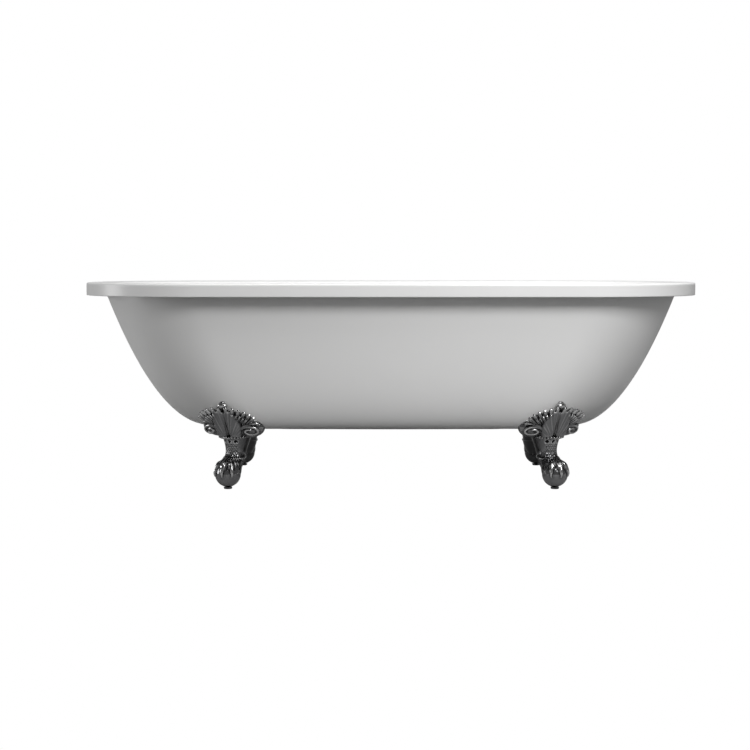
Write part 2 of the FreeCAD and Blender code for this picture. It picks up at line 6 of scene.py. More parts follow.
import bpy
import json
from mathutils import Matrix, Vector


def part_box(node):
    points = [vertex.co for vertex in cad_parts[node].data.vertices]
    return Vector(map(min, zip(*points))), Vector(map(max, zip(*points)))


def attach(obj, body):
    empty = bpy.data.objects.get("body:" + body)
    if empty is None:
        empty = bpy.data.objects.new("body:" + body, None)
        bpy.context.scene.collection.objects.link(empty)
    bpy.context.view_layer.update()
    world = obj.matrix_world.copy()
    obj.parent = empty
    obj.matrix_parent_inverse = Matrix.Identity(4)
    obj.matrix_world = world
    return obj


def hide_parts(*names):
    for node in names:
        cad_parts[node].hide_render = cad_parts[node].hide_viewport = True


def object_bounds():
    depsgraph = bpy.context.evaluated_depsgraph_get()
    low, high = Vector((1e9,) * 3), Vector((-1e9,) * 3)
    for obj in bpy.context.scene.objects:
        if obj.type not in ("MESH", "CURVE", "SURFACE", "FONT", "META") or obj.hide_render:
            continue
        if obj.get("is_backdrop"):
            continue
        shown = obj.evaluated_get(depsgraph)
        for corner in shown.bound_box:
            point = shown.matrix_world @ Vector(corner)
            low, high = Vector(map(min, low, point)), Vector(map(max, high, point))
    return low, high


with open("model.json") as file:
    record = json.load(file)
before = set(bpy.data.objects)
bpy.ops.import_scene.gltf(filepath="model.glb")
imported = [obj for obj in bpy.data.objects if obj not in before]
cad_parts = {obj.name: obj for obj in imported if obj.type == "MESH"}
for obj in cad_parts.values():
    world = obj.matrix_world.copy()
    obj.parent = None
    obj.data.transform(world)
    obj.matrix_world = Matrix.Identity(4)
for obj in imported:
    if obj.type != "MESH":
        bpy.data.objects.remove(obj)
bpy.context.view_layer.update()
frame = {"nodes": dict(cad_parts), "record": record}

# %% [markdown]
# ## Millimetres, and how a piece is picked
# A maker's drawing is in millimetres and Blender works in metres, so one name turns one into
# the other. Operators act on whatever is selected, so everything is deselected first.

# %% Units and selection
import json
import math

import bmesh
import bpy
import numpy as np
from mathutils import Matrix, Vector
from mathutils.bvhtree import BVHTree

MM = 0.001
bpy.ops.object.select_all(action="DESELECT")


def alone(piece):
    """Select one object and nothing else."""
    bpy.ops.object.select_all(action="DESELECT")
    piece.select_set(True)
    bpy.context.view_layer.objects.active = piece
    return piece


def modify(piece, kind, **settings):
    """Add a modifier with its settings and apply it."""
    alone(piece)
    modifier = piece.modifiers.new(kind, kind)
    for name, value in settings.items():
        setattr(modifier, name, value)
    bpy.ops.object.modifier_apply(modifier=modifier.name)
    return piece


def smooth(piece, degrees=40):
    """Shade a piece smooth, apart from edges sharper than this."""
    alone(piece)
    bpy.ops.object.shade_smooth_by_angle(angle=math.radians(degrees))
    return piece


# %% [markdown]
# ## Placing, copying and dressing a piece
# A piece that turns up several times is made once and copied. Every piece then gets its finish
# and says which body it rides on and which nodes it replaces.

# %% Placing and dressing


def placed(piece, matrix):
    """Move a piece's mesh, and leave its object at the origin."""
    piece.data.transform(matrix)
    return piece


def copied(piece, name, matrix):
    """A copy with its own mesh, moved to its place."""
    copy = bpy.data.objects.new(name, piece.data.copy())
    bpy.context.scene.collection.objects.link(copy)
    return placed(copy, matrix)


def dress(piece, finish, body, slot, *nodes):
    """Give a piece its finish, its body and the nodes that it stands for. The slot is not used."""
    piece.data.materials.clear()
    piece.data.materials.append(finish.material)
    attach(piece, body)
    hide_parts(*nodes)
    print(piece.name, len(piece.data.polygons), "faces")


# %% [markdown]
# ## The camera
# The photograph looks at the long side from a little above the rim. A long 80 mm lens from
# 4.7 m away keeps the two ends nearly the same size, as they are there.

# %% Camera
CAMERA_PLACE = (-0.0440, -4.697, 0.608)
CAMERA_DOWN = 3.90
bpy.ops.object.camera_add(location=CAMERA_PLACE, rotation=(math.radians(90 - CAMERA_DOWN), 0, 0))
camera = bpy.context.object
camera.data.lens = 80
bpy.context.scene.camera = camera

# %% [markdown]
# ## Shader maths as plain expressions
# A finish is a sum of small effects. A wrapped socket lets each be written as arithmetic, and
# one method makes every other kind of node.

# %% A socket that does arithmetic


class Flow:
    """The output of a shader node, on which arithmetic adds Math nodes."""

    def __init__(self, finish, socket):
        self.finish, self.socket = finish, socket

    def math(self, operation, first, second):
        return self.finish.node("ShaderNodeMath", {"operation": operation}, {0: first, 1: second})

    def __add__(self, other):
        return self.math("ADD", self, other)

    def __radd__(self, other):
        return self.math("ADD", other, self)

    def __mul__(self, other):
        return self.math("MULTIPLY", self, other)

    def __rmul__(self, other):
        return self.math("MULTIPLY", other, self)


class Nodes:
    """The node tree of a material or of the world."""

    def __init__(self, owner):
        owner.use_nodes = True
        self.tree = owner.node_tree

    def node(self, kind, settings=None, sockets=None, output=0):
        """Add a node: its settings first, then a value or a link for each socket."""
        made = self.tree.nodes.new(kind)
        for name, value in (settings or {}).items():
            setattr(made, name, value)
        for name, value in (sockets or {}).items():
            socket = made.inputs[name] if isinstance(name, int) else next(
                entry for entry in made.inputs if entry.name == name and entry.enabled)
            if isinstance(value, Flow):
                self.tree.links.new(value.socket, socket)
            else:
                socket.default_value = value
        outputs = [entry for entry in made.outputs if entry.enabled]
        return Flow(self, outputs[output])

    def surface(self, flow):
        """Make a shader the one that is seen."""
        outlet = next(node for node in self.tree.nodes if node.bl_idname.startswith("ShaderNodeOutput"))
        self.tree.links.new(flow.socket, outlet.inputs["Surface"])


class Finish(Nodes):
    """A material named for what it coats, with the Principled shader's fixed values."""

    def __init__(self, name, **fixed):
        self.material = bpy.data.materials.new(name)
        super().__init__(self.material)
        self.shader = self.tree.nodes["Principled BSDF"]
        for socket, value in fixed.items():
            self.shader.inputs[socket.replace("_", " ")].default_value = value

    def place(self):
        """The point on the piece, in metres."""
        return self.node("ShaderNodeTexCoord", output=3)

    def noise(self, scale, detail, at=None):
        """Cloudy noise around one half, so many cycles to the metre."""
        sockets = {"Vector": at or self.place(), "Scale": scale, "Detail": detail}
        return self.node("ShaderNodeTexNoise", {}, sockets)

    def mix(self, share, first, second):
        """A colour between two others."""
        return self.node("ShaderNodeMix", {"data_type": "RGBA"}, {"Factor": share, "A": first, "B": second})

    def feed(self, **inputs):
        """Join flows to the shader's sockets."""
        for name, flow in inputs.items():
            self.tree.links.new(flow.socket, self.shader.inputs[name.replace("_", " ")])

    def bump(self, height, distance, strength=1.0):
        """Raise the surface by a height that runs from 0 to 1, over a distance in metres."""
        lift = self.node("ShaderNodeBump", {}, {"Height": height, "Distance": distance, "Strength": strength})
        self.feed(Normal=lift)


def grey(level):
    return (level, level, level, 1)


# %% [markdown]
# ## White acrylic
# A vacuum-formed sheet: bright white, glossy, with a very slight ripple that only shows in
# its reflections, and a sheen that varies a little from place to place.

# %% Acrylic
acrylic = Finish("white_acrylic", IOR=1.49)
ripple = acrylic.noise(9.0, 1.0)
haze = acrylic.noise(2.3, 3.0)
acrylic.feed(Base_Color=acrylic.mix(haze, (0.80, 0.80, 0.795, 1), (0.84, 0.84, 0.835, 1)),
             Roughness=0.24 + haze * 0.14)
acrylic.bump(ripple, 0.0006, 0.35)

# %% [markdown]
# ## The bath's outline
# Seen from above, each end is half an ellipse and the sides are straight. A ring of points
# round that outline starts from the right-hand end and goes round the back.

# %% Outline
END_POINTS = 60
SIDE_POINTS = 26


def outline(length, width, ratio, height):
    """A ring of points: half length, half width, share of the width that an end reaches."""
    end = width * ratio
    straight = length - end
    ring = []
    for side in (1, -1):
        for step in range(END_POINTS):
            angle = math.pi * (step / END_POINTS - 0.5)
            along = straight + end * math.cos(angle)
            ring.append(Vector((side * along, side * width * math.sin(angle), height)))
        for step in range(SIDE_POINTS):
            along = straight * (1 - 2 * step / SIDE_POINTS)
            ring.append(Vector((side * along, side * width, height)))
    return ring


def round_hole(radius, height, like):
    """A round ring whose points lie in the same directions as another ring's."""
    return [Vector((point.x, point.y, 0)).normalized() * radius + Vector((0, 0, height)) for point in like]


def between(first, second, share):
    """A ring part of the way from one ring to another."""
    return [a.lerp(b, share) for a, b in zip(first, second)]


def rounded(before, corner, after, steps):
    """Rings round a soft corner, from one ring to another, pulled towards a third."""
    shares = [step / steps for step in range(1, steps)]
    return [between(between(before, corner, share), between(corner, after, share), share) for share in shares]


def drawn(name, rings, closed=False):
    """Add a circle on the first ring and extrude it from ring to ring."""
    bpy.ops.mesh.primitive_circle_add(vertices=len(rings[0]))
    piece = bpy.context.object
    piece.name = name
    for corner, point in zip(piece.data.vertices, rings[0]):
        corner.co = point
    bpy.ops.object.mode_set(mode="EDIT")
    bpy.ops.mesh.select_all(action="SELECT")
    for ring in rings[1:]:
        bpy.ops.mesh.extrude_region()
        form = bmesh.from_edit_mesh(piece.data)
        for corner, point in zip((corner for corner in form.verts if corner.select), ring):
            corner.co = point
    bpy.ops.mesh.select_all(action="DESELECT")
    form = bmesh.from_edit_mesh(piece.data)
    for edge in form.edges:
        edge.select = edge.is_boundary
    form.select_flush(True)
    if closed:
        bpy.ops.mesh.edge_face_add()
    bpy.ops.mesh.select_all(action="SELECT")
    bpy.ops.mesh.normals_make_consistent(inside=False)
    bpy.ops.object.mode_set(mode="OBJECT")
    return piece


# %% [markdown]
# ## The outer skin
# The skin rises from a flat bottom on a parabola at its ends and on a gentler curve at its
# sides. Rings are extruded from the access hole in the bottom up to the flange inside the rim.

# %% Skin
RIM_LENGTH, RIM_WIDTH, RIM_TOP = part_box("inner_shell")[1]
SKIN_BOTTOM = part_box("outer_skin")[0].z
RIM_BAND = 35 * MM
RIM_LOW = RIM_TOP - RIM_BAND
RIM_RATIO, END_RATIO = 0.907, 0.87


def rim_ring(inset, height):
    return outline(RIM_LENGTH - inset, RIM_WIDTH - inset, RIM_RATIO, height)


def cubic(start, pull, arrive, end, step):
    """A cubic from start to end whose slopes at its two ends are pull and arrive."""
    rise = end - start
    squared, cubed = 3 * rise - 2 * pull - arrive, pull + arrive - 2 * rise
    return start + pull * step + squared * step**2 + cubed * step**3


BELLY_SPREAD = 0.12


def wall_ring(form, step):
    """The ring of a wall at a step from its foot, 0, to its top, 1, lifted at the foot by its belly."""
    length = form["foot"][0] + (form["top"][0] - form["foot"][0]) * step
    width = cubic(form["foot"][1], form["pull"], form["flare"], form["top"][1], step)
    height = form["low"] + (form["high"] - form["low"]) * step**2
    height += form["belly"] * MM * math.exp(-(step / BELLY_SPREAD)**2)
    return outline(length * MM, width * MM, END_RATIO, height)


SKIN = {"foot": (513, 225), "top": (794, 325), "pull": 216, "flare": 72, "belly": 5.8,
        "low": SKIN_BOTTOM, "high": RIM_LOW}
ACCESS_RADIUS = 62 * MM
WALL_STEPS = 30

foot_ring = wall_ring(SKIN, 0)
access_ring = round_hole(ACCESS_RADIUS, SKIN_BOTTOM, foot_ring)
bottom_edge = [Vector((point.x, point.y, SKIN_BOTTOM)) for point in foot_ring]
skin_rings = [between(access_ring, bottom_edge, share) for share in (0, 0.06, 0.3, 0.6, 0.8)]
skin_rings.append(between(skin_rings[-1], foot_ring, 0.5))
skin_rings += [wall_ring(SKIN, step / WALL_STEPS) for step in range(WALL_STEPS + 1)]
JOINT = 2 * MM
skin_top = [point + Vector((0, 0, JOINT)) for point in skin_rings[-1]]
INSIDE_RIM = 5.3 * MM
skin_rings += [skin_top, rim_ring(INSIDE_RIM, RIM_LOW + JOINT)]

skin = drawn("bath_skin", skin_rings)
wall_face = min(skin.data.polygons, key=lambda face: face.center.y)
if wall_face.normal.y > 0:
    skin.data.flip_normals()
SKIN_WALL = 4 * MM
modify(skin, "SOLIDIFY", thickness=SKIN_WALL, offset=-1, use_even_offset=True)
print("the skin's underside is at", round(min(corner.co.z for corner in skin.data.vertices) / MM, 2), "mm")
smooth(skin)
dress(skin, acrylic, "bath", "bath_acrylic", "outer_skin")

# %% [markdown]
# ## Basin, deck and rim
# One moulded sheet. The rings start at the drain, cross the floor, climb the wall, roll over
# a soft lip onto the deck and turn down over the rim.

# %% Basin and rim
FLOOR = 210 * MM
BASIN = {"foot": (488, 198), "top": (765, 290), "pull": 200, "flare": 66, "belly": 0,
         "low": FLOOR, "high": RIM_TOP}
DRAIN_RADIUS = 26 * MM
DISH_RADIUS, DISH_DEPTH = 36.5 * MM, 2 * MM
LIP, EDGE, SKIRT_EDGE = 18 * MM, 6 * MM, 2 * MM

floor_ring = wall_ring(BASIN, 0)
drain_ring = round_hole(DRAIN_RADIUS, FLOOR - DISH_DEPTH, floor_ring)
dish_ring = round_hole(DISH_RADIUS, FLOOR - DISH_DEPTH, floor_ring)
dish_edge = round_hole(DISH_RADIUS + 2 * MM, FLOOR, floor_ring)
basin_rings = [drain_ring, dish_ring, dish_edge]
basin_rings += [between(dish_edge, floor_ring, share) for share in (0.05, 0.25, 0.5, 0.75, 0.9)]
lip_step = math.sqrt((RIM_TOP - LIP - FLOOR) / (RIM_TOP - FLOOR))
basin_rings += [wall_ring(BASIN, lip_step * step / WALL_STEPS) for step in range(WALL_STEPS + 1)]
lip_corner = wall_ring(BASIN, 1)
basin_top = Vector(BASIN["top"]) * MM
deck_start = outline(basin_top.x + LIP, basin_top.y + LIP, END_RATIO, RIM_TOP)
basin_rings += rounded(basin_rings[-1], lip_corner, deck_start, 8)
deck_end = rim_ring(EDGE, RIM_TOP)
skirt_start = rim_ring(0, RIM_TOP - EDGE)
skirt_end = rim_ring(0, RIM_LOW + SKIRT_EDGE)
rim_under = rim_ring(SKIRT_EDGE, RIM_LOW)
basin_rings += [deck_start] + [between(deck_start, deck_end, share) for share in (0.1, 0.5, 0.9, 1)]
basin_rings += rounded(deck_end, rim_ring(0, RIM_TOP), skirt_start, 6)
basin_rings += [skirt_start] + [between(skirt_start, skirt_end, share) for share in (0.1, 0.9, 1)]
basin_rings += rounded(skirt_end, rim_ring(0, RIM_LOW), rim_under, 4) + [rim_under]

basin = drawn("bath_basin", basin_rings)
ACRYLIC = 5 * MM
modify(basin, "SOLIDIFY", thickness=ACRYLIC, offset=-1, use_even_offset=True)
smooth(basin)
dress(basin, acrylic, "bath", "bath_acrylic", "inner_shell")

# %% [markdown]
# ## Where a foot stands
# The four feet are one casting. It is modelled once in its own frame, with the ball over the
# origin and its front towards -Y, and then copied to each corner, turned towards the bath's
# nearer end. The back of the casting has to lie on the skin, so rays are cast at the skin to
# find how far out it is at each height and to either hand.

# %% Foot frame
FOOT_TURN = 22
CORNERS = {"front_left": (-1, -1), "front_right": (1, -1), "back_left": (-1, 1), "back_right": (1, 1)}
mount_places = {mount["name"]: Vector(mount["pos_m"]) for mount in frame["record"]["mounts"]}


def foot_matrix(corner):
    """From the foot's own frame to its corner of the bath."""
    along, across = CORNERS[corner]
    turn = FOOT_TURN * along if across < 0 else 180 - FOOT_TURN * along
    place = Matrix.Translation(mount_places["glide_face_" + corner])
    return place @ Matrix.Rotation(math.radians(turn), 4, "Z")


skin_tree = BVHTree.FromObject(skin, bpy.context.evaluated_depsgraph_get())
right_foot = foot_matrix("front_right")
reached = {}
# Below this height the skin turns under, so the foot's back goes straight down. All in mm.
SKIN_TURNS, RAY_START, NO_SKIN = 158, 300, -124


def flank(x, z):
    """How far out from the ball the skin stands, in mm, at a place in mm on either hand."""
    z = max(z, SKIN_TURNS)
    key = (round(abs(x)), round(z))
    if key not in reached:
        away = []
        for side in (-1, 1):
            start = right_foot @ (Vector((side * x, -RAY_START, z)) * MM)
            hit = skin_tree.ray_cast(start, right_foot.to_3x3() @ Vector((0, 1, 0)))
            away.append(RAY_START - hit[3] / MM if hit[0] else NO_SKIN)
        reached[key] = max(away)
    return reached[key]


def at(x, out, z):
    """A point of the foot, from millimetres across, out and up."""
    return Vector((x, -out, z)) * MM


print("the skin stands", round(flank(0, 215), 1), "mm out from the ball at the top of the leaf")

# %% [markdown]
# ## Building ornament from tapering bars
# A modeller in wax rolls thin sausages and presses them on. A path with a radius at each
# point does the same, and the finished bars are melted together later.

# %% Bars, beads and ovals
cast_parts = []


def rolled(points, radii):
    """A round bar through five or more points whose thickness follows a list of radii, in mm."""
    bpy.ops.curve.primitive_nurbs_path_add()
    path = bpy.context.object
    spline = path.data.splines[0]
    spline.points.add(max(0, len(points) - len(spline.points)))
    for knot, point, radius in zip(spline.points, points, radii):
        knot.co, knot.radius = (*point, 1), radius * MM
    path.data.bevel_depth, path.data.bevel_resolution, path.data.resolution_u = 1, 2, 4
    path.data.use_fill_caps = True
    bpy.ops.object.convert(target="MESH")
    cast_parts.append(bpy.context.object)
    return bpy.context.object


def bead(centre, radius, squash=(1, 1, 1), segments=16):
    """A ball or egg of metal, radius in mm."""
    bpy.ops.mesh.primitive_uv_sphere_add(segments=segments, ring_count=segments // 2, radius=radius * MM)
    ball = bpy.context.object
    bpy.ops.object.mode_set(mode="EDIT")
    bpy.ops.transform.resize(value=squash)
    bpy.ops.object.mode_set(mode="OBJECT")
    ball.data.transform(Matrix.Translation(centre))
    cast_parts.append(ball)
    return ball


def oval(half, front, back, z, count=20):
    """A level oval from its half width and how far out its front and back are, in mm."""
    middle, depth = (front + back) / 2, (front - back) / 2
    angles = (2 * math.pi * step / count for step in range(count))
    return [at(half * math.cos(angle), middle + depth * math.sin(angle), z) for angle in angles]


# %% [markdown]
# ## Ball, leg and lug
# The cabriole leg swells over the ball, narrows at the ankle, which sits well back, and swings
# forward again to the knee. It is a stack of ovals, rounded off with a subdivision surface.

# %% Leg
# Level sections from the ankle up: half width, front, back, height.
LEG = ((18, 4, -32, 30), (25, 9, -46, 46), (29, 6, -57, 60), (30, -3, -67, 72), (27.5, -12, -77, 84),
       (26.5, -15, -85, 95), (28, -14, -93, 108), (31, -10, -101, 120), (35, -5, -108, 133),
       (37, -2, -112, 143), (38, 4, -90, 152), (41, 8, -40, 164), (42, 14, -6, 178), (40, 20, 8, 192),
       (33, 25, 16, 203), (20, 27, 22, 209))
leg = drawn("leg", [oval(*section) for section in LEG], closed=True)
modify(leg, "SUBSURF", levels=1, render_levels=1)
cast_parts.append(leg)

BALL_RADIUS, BALL_HEIGHT = 34.5, 39.7
PAW = ((22, 0, -60, 84), (25.5, 5, -56, 78), (29.5, 13, -50, 70), (33, 21, -44, 61), (35.5, 28, -38, 52),
       (36, 31, -34, 44), (34, 30, -30, 36))
cast_parts.append(drawn("paw", [oval(*section) for section in PAW], closed=True))
bead(at(0, 0, BALL_HEIGHT), BALL_RADIUS, segments=64)

LUG_SIZE, LUG_ROUND = Vector((88, 64, 14)) * MM, 3.5 * MM
bpy.ops.mesh.primitive_cube_add(size=1)
lug = bpy.context.object
bpy.ops.object.mode_set(mode="EDIT")
bpy.ops.transform.resize(value=LUG_SIZE)
bpy.ops.transform.translate(value=at(0, -92, 145.7))
bpy.ops.mesh.bevel(offset=LUG_ROUND, segments=3, affect="EDGES")
bpy.ops.object.mode_set(mode="OBJECT")
cast_parts.append(lug)

# %% [markdown]
# ## Toes and claws
# Three toes come over the front of the ball and one behind, and two short ones lie at its sides.
# Each is a bar with two knuckles, and the long ones thin into a claw at about the ball's middle.

# %% Toes
# From the wrist to the tip: degrees above the ball's middle, distance from its centre, thickness.
TOE = ((118, 24, 8), (102, 30, 10), (88, 32, 10.5), (74, 33.5, 12.2), (60, 33, 9.6), (46, 34.5, 11.8),
       (32, 34, 9), (22, 36, 6.2), (10, 38, 4.4), (-2, 37.5, 3), (-10, 35.5, 1.2))


def toe(spread, joints):
    """A toe that leaves the wrist at an angle to the front."""
    heading = Vector((math.sin(math.radians(spread)), -math.cos(math.radians(spread)), 0))
    points = []
    for rise, reach, _ in joints:
        spoke = heading * math.cos(math.radians(rise)) + Vector((0, 0, math.sin(math.radians(rise))))
        points.append(at(0, 0, BALL_HEIGHT) + spoke * reach * MM)
    rolled(points, [joint[2] for joint in joints])


FRONT_SPREAD, SIDE_SPREAD, SIDE_SLIMMER = 44, 112, 0.8
for spread in (-FRONT_SPREAD, 0, FRONT_SPREAD):
    toe(spread, TOE)
toe(180, TOE[2:])
for spread in (-SIDE_SPREAD, SIDE_SPREAD):
    toe(spread, [(rise, reach, thick * SIDE_SLIMMER) for rise, reach, thick in TOE[1:8]])

# %% [markdown]
# ## Collar and cuff
# A row of beads between two thin rings marks where the leaf ends and the leg begins, and a
# thick cuff marks the wrist.

# %% Collar
BEAD_RADIUS, BEAD_COUNT, BEADS_END = 3.0, 30, 45 * MM


def hoop(half, front, back, z, thick, tilt):
    """A ring round the leg, tilted down towards the front by so many mm."""
    ring = oval(half, front, back, z, 16)
    middle = (front + back) / 2
    for point in ring:
        point.z += tilt * (point.y / MM + middle) / 30 * MM
    rolled(ring + ring[:2], [thick] * (len(ring) + 2))


hoop(37, 0, -75, 137, 2.4, 2)
hoop(27.5, -10, -72, 80, 4.4, 3)
for point in oval(38.5, 2.5, -75, 137, BEAD_COUNT):
    if point.y < BEADS_END:
        bead(point, BEAD_RADIUS, segments=10)

# %% [markdown]
# ## The fan leaf
# Each lobe is a bar that thickens towards its tip, with a shorter one in front between its
# neighbours. Their ends stand off the bath, as the curled tips of a cast leaf do.

# %% Leaf
LEAF_ROOT = 148
LOBES = 6
# Along a lobe: share of its length, how far it stands off the bath, thickness.
LONG_LOBE = ((0.25, 5, 3), (0.45, 6.5, 4.8), (0.62, 7.5, 6.4), (0.78, 9, 7.5), (0.9, 11.5, 7.4),
             (0.98, 14.5, 6.2), (1.03, 18.5, 3.6))
SHORT_LOBE = ((0.3, 10, 3), (0.45, 12, 4.4), (0.6, 14, 5.4), (0.72, 17, 4.6), (0.8, 21, 2.6))


def leaf_tip(angle):
    """The end of a lobe at an angle from level, across and up in mm."""
    return 86 * math.cos(angle) ** 0.9, 174 + 44 * math.sin(angle) ** 0.85


def lobe(side, angle, along):
    """One lobe of the leaf, which lies along the bath and curls forward at its end."""
    across, up = leaf_tip(angle)
    points = []
    for reach, proud, _ in along:
        x, z = across * reach, LEAF_ROOT + (up - LEAF_ROOT) * reach
        points.append(at(side * x, flank(x, z) + proud, z))
    rolled(points, [stop[2] for stop in along])


# The first lobe's angle from level and how many degrees the lobes spread over.
LONG_FAN, SHORT_FAN = (22, 62), (28, 50)
for side in (-1, 1):
    for index in range(LOBES):
        lobe(side, math.radians(LONG_FAN[0] + LONG_FAN[1] * index / (LOBES - 1)), LONG_LOBE)
    for index in range(LOBES - 1):
        lobe(side, math.radians(SHORT_FAN[0] + SHORT_FAN[1] * index / (LOBES - 1)), SHORT_LOBE)

# Behind the lobes a plate fills the gaps. A flat grid is bent into the leaf's fan.
PLATE_FAN, PLATE_THICK = 88, 7 * MM
bpy.ops.mesh.primitive_grid_add(x_subdivisions=36, y_subdivisions=10, size=2)
plate = bpy.context.object
for corner in plate.data.vertices:
    reach = 0.12 + 0.8 * (corner.co.y + 1) / 2
    across, up = leaf_tip(math.radians(90 - PLATE_FAN * abs(corner.co.x)))
    x, z = math.copysign(across, corner.co.x) * reach, LEAF_ROOT + (up - LEAF_ROOT) * reach
    corner.co = at(x, flank(x, z) + 0.5, z)
bpy.ops.object.mode_set(mode="EDIT")
bpy.ops.mesh.select_all(action="SELECT")
bpy.ops.mesh.normals_make_consistent(inside=False)
bpy.ops.object.mode_set(mode="OBJECT")
outward = -1 if plate.data.polygons[0].normal.y < 0 else 1
modify(plate, "SOLIDIFY", thickness=PLATE_THICK, offset=-outward)
cast_parts.append(plate)

# %% [markdown]
# ## Knee and volutes
# Under each shoulder of the leaf a roll ends in a spiral, like the end of a rolled-up scroll.
# It lies on a swelling, the knee, that is a stack of ovals.

# %% Volutes
# Level sections of the knee from below: height, half width, depth of the front from the middle.
KNEE = ((136, 50, 36), (139, 64, 47), (144, 76, 55), (150, 84, 60), (157, 89, 63), (165, 91, 64),
        (173, 90, 64), (181, 84, 62), (189, 70, 56))
KNEE_MIDDLE, KNEE_BEHIND, KNEE_BACK = -66, 10, -74


def knee_front(x, z):
    """How far out the front of the knee stands at a place across and up."""
    steps = list(zip(KNEE, KNEE[1:]))
    below, above = [step for step in steps if step[0][0] <= max(z, KNEE[0][0])][-1]
    share = min(1, max(0, (z - below[0]) / (above[0] - below[0])))
    half, depth = (below[entry] + (above[entry] - below[entry]) * share for entry in (1, 2))
    middle, reach = KNEE_MIDDLE + (depth - KNEE_BEHIND) / 2, (depth + KNEE_BEHIND) / 2
    return middle + reach * math.sqrt(max(0, 1 - (x / half) ** 2))


knee_rings = [oval(half, KNEE_MIDDLE + depth, KNEE_MIDDLE - KNEE_BEHIND, z, 48) for z, half, depth in KNEE]
for ring in knee_rings:
    for point in ring:
        point.y = min(point.y, -KNEE_BACK * MM)
cast_parts.append(drawn("knee", knee_rings, closed=True))

VOLUTE_ACROSS, VOLUTE_UP = 59, 155
VOLUTE_WIDE, VOLUTE_HIGH = 28, 15
VOLUTE_STEPS, VOLUTE_START, VOLUTE_SWEEP, VOLUTE_CLOSES = 30, 190, 500, 0.78


def volute(side):
    """A low roll laid in a spiral on the knee, closing on a small eye."""
    points, radii = [], []
    for step in range(VOLUTE_STEPS + 1):
        share = step / VOLUTE_STEPS
        angle = math.radians(VOLUTE_START - VOLUTE_SWEEP * share)
        size = 1.0 - VOLUTE_CLOSES * share
        x = VOLUTE_ACROSS + VOLUTE_WIDE * size * math.cos(angle)
        z = VOLUTE_UP + VOLUTE_HIGH * size * math.sin(angle)
        points.append(at(side * x, knee_front(x, z) + 0.2, z))
        radii.append(4.7 - 1.5 * share)
    rolled(points, radii)


# %% [markdown]
# ## Petals and sweeping ribs
# Each petal is a stack of ovals that leans out as it rises. Two ribs sweep out above each volute.

# %% Petals
# Level sections of a petal from the collar up: height, middle, half width, front, back.
PETAL = ((136, 15, 17, 1, -34), (143, 16.5, 19, 3, -32), (152, 17, 20.5, 7, -28), (162, 17.5, 22, 12, -22),
         (174, 17, 23, 17, -14), (186, 16.5, 23.5, 23, -5), (196, 16, 22, 28.5, 4), (203, 15.5, 19, 32, 10),
         (208, 15, 14, 35, 18), (210, 15, 9, 36, 26))
# The lower rib over a volute: across and up. The upper one rises away from it.
SWEEP = ((24, 150), (33, 162), (45, 171), (58, 176), (72, 178), (84, 176))
SWEEP_SWELL = (0.7, 0.95, 1, 1, 0.9, 0.5)
SWEEP_OPENS_AT, SWEEP_OPENS_OVER = 22, 68

for side in (-1, 1):
    volute(side)
    sections = [[point + at(side * middle, 0, 0) for point in oval(half, front, back, z, 24)]
                for z, middle, half, front, back in PETAL]
    petal = drawn("petal", sections, closed=True)
    modify(petal, "SUBSURF", levels=1, render_levels=1)
    cast_parts.append(petal)
    for lift, thick in ((0, 4.6), (10, 4.2)):
        rib = [(x, z + lift * (x - SWEEP_OPENS_AT) / SWEEP_OPENS_OVER) for x, z in SWEEP]
        points = [at(side * x, max(knee_front(x, z), flank(x, z) + 8) + 1.5, z) for x, z in rib]
        rolled(points, [thick * share for share in SWEEP_SWELL])

# %% [markdown]
# ## The bud
# A closed bud stands over the middle of the leaf on a short neck, so that a dark gap shows
# under it.

# %% Bud
BUD_UP = 227
BUD_RADIUS = 13.5
bud_out = flank(0, BUD_UP) + 8
bead(at(0, bud_out, BUD_UP - 1), BUD_RADIUS, (1.08, 0.8, 0.62), 24)
bead(at(0, bud_out - 1, BUD_UP + 4), BUD_RADIUS * 0.62, (1, 0.9, 0.9), 24)
rolled([at(0, bud_out - 10, z) for z in (202, 207, 212, 217, 222)], (6, 5, 4.5, 4.5, 5))

# %% [markdown]
# ## Melting the parts into one casting
# The parts are joined and remeshed into one closed surface, then softened a little, as the sand
# mould and the polishing wheel soften a real casting.

# %% One casting
VOXEL = 1.25 * MM
alone(leg)
for part in cast_parts:
    part.select_set(True)
bpy.ops.object.join()
casting = bpy.context.object
casting.name = "claw_foot"
modify(casting, "REMESH", mode="VOXEL", voxel_size=VOXEL)
modify(casting, "SMOOTH", factor=0.5, iterations=2)
print("the casting has", len(casting.data.polygons), "faces")

# %% [markdown]
# ## Chasing
# The last detail is cut into the surface by moving its points: the hair on the paw, scales on
# the front of the ankle and three pits under the collar. The back is pressed flat on the skin.

# %% Chasing and seating
GLIDE_SEAT = 5.2
SCALES_LOW, SCALE_WIDE, SCALE_HIGH, SCALE_DEEP = 86, 6.2, 5.2, 2.2
HAIR_LINES = 30
PITS, PIT_UP, PIT_RADIUS, PIT_DEEP = (-16.5, 0, 16.5), 125.5, 4.4, 5.0
FLUTE_DEEP = 0.22
SEATED_FROM, SEAT_GAP = 154, 0.4


def spots_and_normals(mesh):
    """Where every point of a mesh is, in metres, and which way it faces."""
    spots, normals = np.empty(len(mesh.vertices) * 3), np.empty(len(mesh.vertices) * 3)
    mesh.vertices.foreach_get("co", spots)
    mesh.vertices.foreach_get("normal", normals)
    return spots.reshape(-1, 3), normals.reshape(-1, 3)


